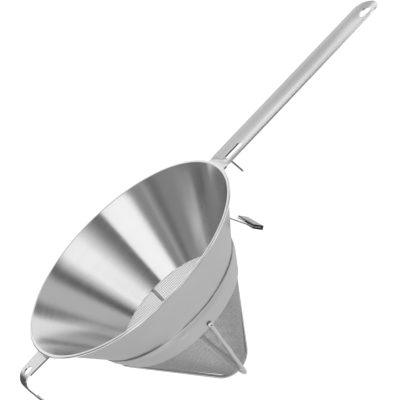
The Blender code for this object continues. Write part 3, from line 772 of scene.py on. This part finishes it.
def make_handle_sheet(material):
    """Dished handle with its hang hole, slot and bent tongue."""
    root = HANDLE_ROOT_WIDTH / 2
    end = HANDLE_END_WIDTH / 2
    spread = math.asin(root / HANDLE_ROOT)
    plan = arc((HANDLE_REACH - end, 0.0), end, -math.pi / 2, math.pi / 2, HANDLE_END_STEPS)
    plan += arc((0.0, 0.0), HANDLE_ROOT, spread, -spread, HANDLE_ROOT_STEPS)
    middle = HANDLE_REACH - HANG_HOLE_INSET
    hole = stadium(middle - HANG_HOLE_LENGTH / 2, middle + HANG_HOLE_LENGTH / 2, HANG_HOLE_WIDTH)
    slot = round_tab(SLOT_START, SLOT_START + SLOT_LENGTH, SLOT_WIDTH, SLOT_CORNER)
    tongue = round_tab(SLOT_START, SLOT_START + TONGUE_LENGTH, TONGUE_WIDTH, SLOT_CORNER - TONGUE_GAP)
    mesh = filled_curve("handle_sheet", [plan, hole, slot + tongue[::-1]])
    level = RIM_Z - HANDLE_FLOOR_DROP - HANDLE_SHEET / 2
    bend = (SLOT_START, level - TONGUE_BEND)
    path = arc(bend, TONGUE_BEND, math.pi / 2, TONGUE_LEAN, TONGUE_BEND_STEPS)
    down = Vector((math.sin(TONGUE_LEAN), -math.cos(TONGUE_LEAN)))
    path.append(tuple(Vector(path[-1]) + down * TONGUE_LENGTH))
    lengths = path_lengths(path)
    middle_strip = HANDLE_STRIPS // 2
    folds = [root * index / middle_strip for index in range(1 - middle_strip, middle_strip)]
    press = []
    for index in range(1, HANDLE_PRESS_STEPS):
        press.append(HANDLE_ROOT + (SLOT_START - HANDLE_ROOT) * index / HANDLE_PRESS_STEPS)
    bm = bmesh.new()
    bm.from_mesh(mesh)
    split_sheet(bm, press + [SLOT_START + length for length in lengths[:-1]], folds)
    for vertex in bm.verts:
        x, y, _ = vertex.co
        if in_tongue(x, y):
            place = on_path(path, lengths, x - SLOT_START, dish(y))
            vertex.co = (place.x, y, place.y)
        else:
            share = pressed_share(x)
            vertex.co.z = (level + dish(y)) * (1 - share) + (RIM_Z - HANDLE_SHEET / 2) * share
    bm.to_mesh(mesh)
    bm.free()
    obj = finish_sheet(new_object("handle_sheet", mesh, [material]), HANDLE_SHEET, HANDLE_EDGE)
    return stand_in(obj, "handle_steel", "handle")


def hook_path():
    """Centre line of the hook in the XZ plane, from its foot on the wall to its lip."""
    level = HOOK_SHEET / 2
    clear = (WALL_SHEET / 2 + CLEARANCE + HOOK_SHEET / 2) / math.cos(WALL_HALF_ANGLE)
    root = Vector((wall_radius(RIM_Z - level) + clear, level))
    down_wall = Vector((-math.sin(WALL_HALF_ANGLE), -math.cos(WALL_HALF_ANGLE)))
    bend_x = HOOK_REACH - HOOK_SHEET / 2 - HOOK_BEND
    line = [tuple(root + down_wall * HOOK_FOOT), tuple(root)]
    bend = (bend_x, level - HOOK_BEND)
    line += arc(bend, HOOK_BEND, math.pi / 2, -HOOK_LEAN, HOOK_BEND_STEPS)
    down = Vector((-math.sin(HOOK_LEAN), -math.cos(HOOK_LEAN)))
    last = Vector(line[-1])
    knee = last + down * ((last.y + HOOK_DROP - HOOK_LIP) / math.cos(HOOK_LEAN))
    lip = Vector((math.cos(HOOK_LIP_ANGLE), -math.sin(HOOK_LIP_ANGLE)))
    return line + [tuple(knee), tuple(knee - lip * HOOK_LIP)]


def make_hook_strap(material):
    """Strap hook opposite the handle."""
    path = hook_path()
    lengths = path_lengths(path)
    taper_start = lengths[1] + RIM_RADIUS - path[1][0]
    bend_start = lengths[2]
    root = HOOK_ROOT_WIDTH / 2
    tip = HOOK_TIP_WIDTH / 2
    side = [
        (0.0, root), (taper_start, root), (bend_start, HOOK_BEND_WIDTH / 2),
        (bend_start + HOOK_TAPER_LENGTH, tip), (lengths[-1], tip),
    ]
    outline = side + [(distance, -y) for distance, y in reversed(side)]
    hole_place = lengths[1] + HOOK_HOLE_RADIUS - path[1][0]
    hole = arc((hole_place, 0.0), HOOK_HOLE_DIAMETER / 2, 0.0, 2 * math.pi, HOOK_HOLE_SIDES)[:-1]
    mirrored = [(-x, z) for x, z in path]
    obj = bent_sheet("hook_strap", [outline, hole], mirrored, HOOK_SHEET, HOOK_EDGE, [material])
    return stand_in(obj, "handle_steel", "pot_hook")


def rest_line():
    """Centre line of the rest bracket in the XZ plane, from its foot to its lower edge."""
    clear = (WALL_SHEET / 2 + CLEARANCE + REST_SHEET / 2) / math.cos(WALL_HALF_ANGLE)
    foot_top = (wall_radius(REST_FOOT_TOP) + clear, z_of(REST_FOOT_TOP))
    root = Vector((wall_radius(REST_ROOT_DEPTH) + clear, z_of(REST_ROOT_DEPTH)))
    along_wall = Vector((-math.sin(WALL_HALF_ANGLE), -math.cos(WALL_HALF_ANGLE)))
    along_plate = Vector((math.sin(REST_PLATE_LEAN), -math.cos(REST_PLATE_LEAN)))
    half_turn = (WALL_HALF_ANGLE + REST_PLATE_LEAN) / 2
    start = root - along_wall * REST_BEND * math.tan(half_turn)
    outwards = Vector((math.cos(WALL_HALF_ANGLE), -math.sin(WALL_HALF_ANGLE)))
    centre = start + outwards * REST_BEND
    first, last = math.pi - WALL_HALF_ANGLE, math.pi + REST_PLATE_LEAN
    bend = arc(tuple(centre), REST_BEND, first, last, REST_BEND_STEPS)
    kick_start = root + along_plate * REST_PLATE_LENGTH
    along_kick = Vector((math.sin(REST_KICK_LEAN), -math.cos(REST_KICK_LEAN)))
    return [foot_top] + bend + [tuple(kick_start), tuple(kick_start + along_kick * REST_KICK_LENGTH)]


def make_rest_plate(material):
    """Sheet bracket under the handle."""
    path = rest_line()
    length = path_lengths(path)[-1]
    half = REST_WIDTH / 2
    outline = [(0.0, -half), (length, -half), (length, half), (0.0, half)]
    obj = bent_sheet("rest_plate", [outline], path, REST_SHEET, REST_EDGE, [material])
    return stand_in(obj, "bright_steel", "rest_bracket")


def make_rest_trim(material):
    """U-shaped trim pushed over the bracket's lower edge."""
    kick_start, end = (Vector(point) for point in rest_line()[-2:])
    along = (end - kick_start).normalized()
    top = kick_start + along * CLEARANCE
    bottom = end + along * CLEARANCE
    left = Vector((-along.y, along.x))
    inner = REST_SHEET / 2 + CLEARANCE
    outer = inner + TRIM_SHEET
    outline = [
        top + left * outer, top + left * inner, bottom + left * inner, bottom - left * inner,
        top - left * inner, top - left * outer,
        bottom + along * TRIM_SHEET - left * outer, bottom + along * TRIM_SHEET + left * outer,
    ]
    mesh = filled_curve("rest_trim", [[tuple(point) for point in outline]], REST_WIDTH / 2)
    mesh.transform(Matrix.Rotation(math.radians(90), 4, "X"))
    obj = new_object("rest_trim", mesh, [material])
    round_edges(obj, REST_EDGE)
    return stand_in(obj, "black_rubber", "rest_edge_trim")


class Nodes:
    """A material's node tree, written with short calls."""

    def __init__(self, name):
        self.material = bpy.data.materials.new(name)
        self.material.use_nodes = True
        self.tree = self.material.node_tree
        self.shader = self.tree.nodes["Principled BSDF"]

    def add(self, kind, **settings):
        node = self.tree.nodes.new(kind)
        for key, value in settings.items():
            setattr(node, key, value)
        return node

    def join(self, source, target):
        self.tree.links.new(source, target)

    def noise(self, scale, detail=2.0, source=None):
        """Noise over object coordinates stretched by a scale for each axis."""
        mapping = self.add("ShaderNodeMapping")
        mapping.inputs["Scale"].default_value = scale
        if source is None:
            source = self.add("ShaderNodeTexCoord").outputs["Object"]
        self.join(source, mapping.inputs["Vector"])
        noise = self.add("ShaderNodeTexNoise")
        noise.inputs["Scale"].default_value = 1.0
        noise.inputs["Detail"].default_value = detail
        self.join(mapping.outputs["Vector"], noise.inputs["Vector"])
        return noise.outputs["Fac"]

    def spread(self, source, low, high):
        """Turn a 0 to 1 value, mostly between 0.3 and 0.7, into a range."""
        node = self.add("ShaderNodeMapRange")
        node.inputs["From Min"].default_value = 0.3
        node.inputs["From Max"].default_value = 0.7
        node.inputs["To Min"].default_value = low
        node.inputs["To Max"].default_value = high
        self.join(source, node.inputs["Value"])
        return node.outputs["Result"]

    def brighten(self, source, attribute, amount):
        """Add an amount where a mesh attribute is 1."""
        share = self.add("ShaderNodeAttribute", attribute_name=attribute)
        node = self.add("ShaderNodeMath", operation="MULTIPLY_ADD")
        node.inputs[1].default_value = amount
        self.join(share.outputs["Fac"], node.inputs[0])
        self.join(source, node.inputs[2])
        return node.outputs[0]

    def grey(self, source):
        """Colour whose three parts are one value."""
        node = self.add("ShaderNodeCombineColor")
        for name in ("Red", "Green", "Blue"):
            self.join(source, node.inputs[name])
        return node.outputs["Color"]

    def bump(self, source, distance):
        node = self.add("ShaderNodeBump")
        node.inputs["Distance"].default_value = distance
        self.join(source, node.inputs["Height"])
        self.join(node.outputs["Normal"], self.shader.inputs["Normal"])


def brushed_steel(name, grey, roughness, grain, grain_depth, vary=0.04, anisotropy=0.0, crease_highlight=0.0):
    """Steel with brush lines. grain is the noise scale for each axis: small along the lines. The last
    argument lightens the colour where the mesh's crease attribute is 1, a painted highlight.
    """
    nodes = Nodes(name)
    shader = nodes.shader
    shader.inputs["Metallic"].default_value = 1.0
    lines = nodes.noise(grain, 3.0)
    clouds = nodes.noise((22.0, 22.0, 22.0), 3.0)
    tone = nodes.spread(clouds, grey - vary / 2, grey + vary / 2)
    # Painted highlight: lighter colour where the crease attribute is 1
    if crease_highlight:
        tone = nodes.brighten(tone, "crease_highlight", crease_highlight)
    nodes.join(nodes.grey(tone), shader.inputs["Base Color"])
    nodes.join(nodes.spread(lines, roughness * 0.85, roughness * 1.15), shader.inputs["Roughness"])
    nodes.bump(lines, grain_depth)
    if anisotropy:
        shader.inputs["Anisotropic"].default_value = anisotropy
        shader.inputs["Anisotropic Rotation"].default_value = 0.25
        tangent = nodes.add("ShaderNodeTangent", direction_type="RADIAL", axis="Z")
        nodes.join(tangent.outputs["Tangent"], shader.inputs["Tangent"])
    return nodes.material


def rubber(name):
    """Smooth black rubber with a faint unevenness."""
    nodes = Nodes(name)
    nodes.shader.inputs["Base Color"].default_value = (0.015, 0.015, 0.016, 1.0)
    clouds = nodes.noise((400.0, 400.0, 400.0), 3.0)
    nodes.join(nodes.spread(clouds, 0.14, 0.22), nodes.shader.inputs["Roughness"])
    nodes.bump(clouds, 0.00002)
    return nodes.material


def make_pieces():
    """Every piece of the strainer, each with its finish."""
    around = (8.0, 8.0, 2600.0)
    lengthwise = (10.0, 1400.0, 1400.0)
    inside = brushed_steel("spun_inside", 0.82, 0.18, around, 0.000002, 0.02, 0.9)
    hem = brushed_steel("hem_polish", 0.86, 0.16, around, 0.000002)
    outside = brushed_steel("satin_outside", 0.74, 0.34, around, 0.000006)
    # The band's colour is lightened along its creases as a painted highlight
    band = brushed_steel("band_satin", 0.74, 0.34, around, 0.000004, crease_highlight=0.24)
    wire = brushed_steel("wire_steel", 0.59, 0.30, (900.0, 900.0, 900.0), 0.000002)
    rod = brushed_steel("rod_drawn", 0.80, 0.20, (300.0, 300.0, 60.0), 0.000003)
    handle = brushed_steel("handle_satin", 0.78, 0.25, lengthwise, 0.0000025)
    hook = brushed_steel("hook_satin", 0.78, 0.22, lengthwise, 0.0000025)
    plate = brushed_steel("plate_bright", 0.86, 0.16, (1400.0, 10.0, 1400.0), 0.000002)
    make_cone_sheet(inside, hem, outside)
    make_band_sheet(band)
    for part, lines in (("a", slice(0, CLOTH_LINES)), ("b", slice(CLOTH_LINES, None))):
        make_wires("weave_warp_" + part, lines, False, wire)
        make_wires("weave_weft_" + part, lines, True, wire)
    make_seam_spots(wire)
    side_offset = ROD_STANDOFF + ROD_RADIUS
    cross_offset = side_offset + 2 * ROD_RADIUS + CLEARANCE
    make_guard_rod("rod_side", SIDE_ROD_AZIMUTHS, side_offset, rod, "guard_rod_side")
    make_guard_rod("rod_cross", CROSS_ROD_AZIMUTHS, cross_offset, rod, "guard_rod_cross")
    make_handle_sheet(handle)
    make_hook_strap(hook)
    make_rest_plate(plate)
    make_rest_trim(rubber("black_rubber"))


def bare_material(name):
    """A material with nothing but the output in its node tree, and that tree."""
    material = bpy.data.materials.new(name)
    material.use_nodes = True
    tree = material.node_tree
    tree.nodes.remove(tree.nodes["Principled BSDF"])
    return material, tree


def combine(tree, operation, first, second):
    """Two values joined by a math operation. The second may be a number."""
    node = tree.nodes.new("ShaderNodeMath")
    node.operation = operation
    tree.links.new(first, node.inputs[0])
    if isinstance(second, float):
        node.inputs[1].default_value = second
    else:
        tree.links.new(second, node.inputs[1])
    return node.outputs[0]


def blend(tree, share, first, second):
    """Mix two shaders and put the result on the material's surface."""
    mix = tree.nodes.new("ShaderNodeMixShader")
    for index, source in enumerate((share, first, second)):
        tree.links.new(source, mix.inputs[index])
    tree.links.new(mix.outputs[0], tree.nodes["Material Output"].inputs["Surface"])


def seen_white(tree):
    """1 for rays from the camera, a glossy surface or a clear one, else 0."""
    rays = tree.nodes.new("ShaderNodeLightPath").outputs
    seen = combine(tree, "MAXIMUM", rays["Is Camera Ray"], rays["Is Glossy Ray"])
    return combine(tree, "MAXIMUM", seen, rays["Is Transmission Ray"])


def make_world():
    """White surroundings: full white where they are seen, softer where they light."""
    world = bpy.data.worlds.new("studio")
    bpy.context.scene.world = world
    world.use_nodes = True
    tree = world.node_tree
    back = tree.nodes["Background"]
    back.inputs["Color"].default_value = (1.0, 1.0, 1.0, 1.0)
    level = tree.nodes.new("ShaderNodeMapRange")
    level.inputs["To Min"].default_value = WORLD_LIGHT
    level.inputs["To Max"].default_value = 1.0
    tree.links.new(seen_white(tree), level.inputs["Value"])
    tree.links.new(level.outputs["Result"], back.inputs["Strength"])


def make_floor():
    """Pale floor that keeps a shadow and can be looked through from below."""
    bm = bmesh.new()
    bmesh.ops.create_grid(bm, x_segments=1, y_segments=1, size=FLOOR_SIZE / 2)
    bmesh.ops.translate(bm, vec=(0.0, 0.0, FLOOR_Z), verts=bm.verts)
    material, tree = bare_material("floor")
    diffuse = tree.nodes.new("ShaderNodeBsdfDiffuse")
    diffuse.inputs["Color"].default_value = (FLOOR_GREY, FLOOR_GREY, FLOOR_GREY, 1.0)
    glow = tree.nodes.new("ShaderNodeEmission")
    level = combine(tree, "MULTIPLY", seen_white(tree), FLOOR_GLOW)
    tree.links.new(level, glow.inputs["Strength"])
    both = tree.nodes.new("ShaderNodeAddShader")
    tree.links.new(diffuse.outputs[0], both.inputs[0])
    tree.links.new(glow.outputs[0], both.inputs[1])
    clear = tree.nodes.new("ShaderNodeBsdfTransparent")
    face = tree.nodes.new("ShaderNodeNewGeometry")
    blend(tree, face.outputs["Backfacing"], both.outputs[0], clear.outputs[0])
    floor = new_object("floor", mesh_from(bm, "floor"), [material])


def direction(azimuth, elevation):
    """Unit vector at an azimuth from +X and an elevation, both in degrees."""
    turn, rise = math.radians(azimuth), math.radians(elevation)
    return Vector((math.cos(turn) * math.cos(rise), math.sin(turn) * math.cos(rise), math.sin(rise)))


def card_mesh(name, start, end, low, high, distance):
    """Patch of a sphere round the strainer, with the share of the way across and up at each point."""
    mesh = bpy.data.meshes.new(name)
    vertices, across, upwards, faces = [], [], [], []
    for column in range(CARD_COLUMNS + 1):
        for row in range(CARD_ROWS + 1):
            across.append(column / CARD_COLUMNS)
            upwards.append(row / CARD_ROWS)
            way = direction(start + (end - start) * across[-1], low + (high - low) * upwards[-1])
            vertices.append(way * distance)
    for column in range(CARD_COLUMNS):
        for row in range(CARD_ROWS):
            corner = column * (CARD_ROWS + 1) + row
            other = corner + CARD_ROWS + 1
            faces.append((corner, corner + 1, other + 1, other))
    mesh.from_pydata(vertices, [], faces)
    mesh.attributes.new("across", "FLOAT", "POINT").data.foreach_set("value", across)
    mesh.attributes.new("upwards", "FLOAT", "POINT").data.foreach_set("value", upwards)
    return mesh


def soft_edge(tree, attribute, start, end):
    """0 where the attribute is start, 1 where it is end and a soft ramp between."""
    share = tree.nodes.new("ShaderNodeAttribute")
    share.attribute_name = attribute
    ramp = tree.nodes.new("ShaderNodeMapRange")
    ramp.interpolation_type = "SMOOTHSTEP"
    ramp.inputs["From Min"].default_value = start
    ramp.inputs["From Max"].default_value = end
    tree.links.new(share.outputs["Fac"], ramp.inputs["Value"])
    return ramp.outputs["Result"]


def make_card(name, start, end, soft_start, soft_end, grey, low, high, soft_top, distance):
    """A card that shows only in the metal. Its sides, heights and soft edges are angles in degrees."""
    material, tree = bare_material(name)
    material.cycles.emission_sampling = "NONE"
    glow = tree.nodes.new("ShaderNodeEmission")
    glow.inputs["Color"].default_value = (grey, grey, grey, 1.0)
    clear = tree.nodes.new("ShaderNodeBsdfTransparent")
    left = soft_edge(tree, "across", 0.0, soft_start / (end - start))
    right = soft_edge(tree, "across", 1.0, 1.0 - soft_end / (end - start))
    top = soft_edge(tree, "upwards", 1.0, 1.0 - soft_top / (high - low))
    cover = combine(tree, "MULTIPLY", combine(tree, "MULTIPLY", left, right), top)
    blend(tree, cover, clear.outputs[0], glow.outputs[0])
    card = new_object(name, card_mesh(name, start, end, low, high, distance), [material])
    card.visible_camera = False
    card.visible_diffuse = False
    card.visible_transmission = False
    card.visible_shadow = False


CARDS = (
    # name, sides, their soft edges, grey, lowest and highest elevation, soft top, distance
    ("card_left", 123, 221, 1, 7, 0.25, -8, 60, 6, 2.60),
    ("card_left_far", 124, 160, 1, 12, 0.19, -8, 56, 6, 2.55),
    ("card_left_gap", 184, 197, 4, 3, 0.14, -8, 60, 6, 2.55),
    ("card_left_bright", 195.5, 202.5, 3, 3, 0.50, -8, 60, 6, 2.50),
    ("card_left_end", 100, 124, 6, 1, 0.55, -8, 28, 6, 2.60),
    ("card_left_near", 131, 166, 12, 8, 0.80, -8, 22, 6.5, 0.30),
    ("softbox_left", 212, 254, 1, 1, 1.13, -8, 76, 2, 2.65),
    ("card_camera", 252.5, 295, 0.6, 34, 0.13, 26, 66, 4, 2.60),
    ("softbox_right", 284, 322, 8, 8, 1.10, -8, 76, 2, 2.65),
    ("card_right", 314, 345, 18, 9, 0.07, 20, 66, 4, 2.55),
    ("card_wall", 335, 389, 4, 6, 0.50, -8, 60, 6, 2.60),
    ("card_wall_dark", 363, 386, 10, 6, 0.14, -8, 34, 4, 2.55),
    ("card_wall_near", 372, 402, 8, 6, 0.90, -8, 19, 6, 0.30),
    ("card_wall_far", 384, 425, 4, 12, 0.88, -8, 28, 2, 2.62),
    ("card_back", 40, 116, 6, 20, 0.72, 26, 84, 2, 2.58),
    ("card_top", 0, 360, 0.01, 0.01, 0.40, 59, 89.9, 1, 2.63),
    ("card_back_end", 52, 75, 6, 6, 0.46, 25, 58, 6, 2.55),
    ("card_handle_edge", 285, 309, 3, 3, 0.06, 9, 31, 2, 0.58),
    ("card_low_right", 309, 375, 2, 10, 0.55, -30, -9, 2, 2.50),
    ("card_low_left", 180, 240, 10, 2, 0.55, -30, -9, 2, 2.50),
    ("card_front", 236, 320, 4, 4, 0.10, -51, -8, 4, 0.50),
    ("card_hook", 118, 152, 3, 3, 0.08, -28, 14, 2, 0.28),
    ("card_below", 0, 360, 0.01, 0.01, 0.62, -89.9, -44, 1, 0.36),
    ("card_below_ring", 312, 596, 1, 1, 0.62, -46, -32, 1, 0.365),
    ("card_below_left", 96, 190, 20, 20, 0.50, -80, -32, 1, 0.35),
)


def make_cards():
    """Grey cards and white softboxes round the strainer, and grey cards below it."""
    for card in CARDS:
        make_card(*card)


def make_lamp(name, azimuth, elevation, size, radiance, distance):
    """A square softbox that faces the strainer."""
    light = bpy.data.lights.new(name, "AREA")
    light.shape = "SQUARE"
    light.size = size
    light.energy = radiance * math.pi * size * size
    lamp = bpy.data.objects.new(name, light)
    bpy.context.scene.collection.objects.link(lamp)
    way = direction(azimuth, elevation)
    lamp.location = way * distance
    lamp.rotation_mode = "QUATERNION"
    lamp.rotation_quaternion = way.to_track_quat("Z", "Y")
    lamp.visible_camera = False
    lamp.visible_glossy = False


LAMPS = (
    # name, azimuth, elevation, side, radiance, distance
    ("lamp_left", -122.0, 43.0, 1.1, 1.2, 2.3),
    ("lamp_right", -55.0, 41.0, 0.9, 1.15, 2.3),
)


def make_camera():
    """Camera at the photograph's angle."""
    right = Vector((math.cos(VIEW_AZIMUTH), math.sin(VIEW_AZIMUTH), 0.0))
    back = Vector((
        math.sin(VIEW_AZIMUTH) * math.cos(VIEW_ELEVATION),
        -math.cos(VIEW_AZIMUTH) * math.cos(VIEW_ELEVATION),
        math.sin(VIEW_ELEVATION),
    ))
    up = back.cross(right)
    turned_right = right * math.cos(VIEW_ROLL) - up * math.sin(VIEW_ROLL)
    turned_up = right * math.sin(VIEW_ROLL) + up * math.cos(VIEW_ROLL)
    data = bpy.data.cameras.new("camera")
    data.lens = VIEW_LENS
    data.sensor_width = VIEW_SENSOR
    camera = bpy.data.objects.new("camera", data)
    bpy.context.scene.collection.objects.link(camera)
    turn = Matrix((turned_right, turned_up, back)).transposed().to_4x4()
    camera.matrix_world = Matrix.Translation(VIEW_TARGET + back * VIEW_DISTANCE) @ turn
    bpy.context.scene.camera = camera


def main():
    """Camera, surroundings and light, then the strainer."""
    bpy.context.scene.view_settings.view_transform = "Standard"
    make_camera()
    make_world()
    make_floor()
    make_cards()
    for lamp in LAMPS:
        make_lamp(*lamp)
    make_pieces()


main()
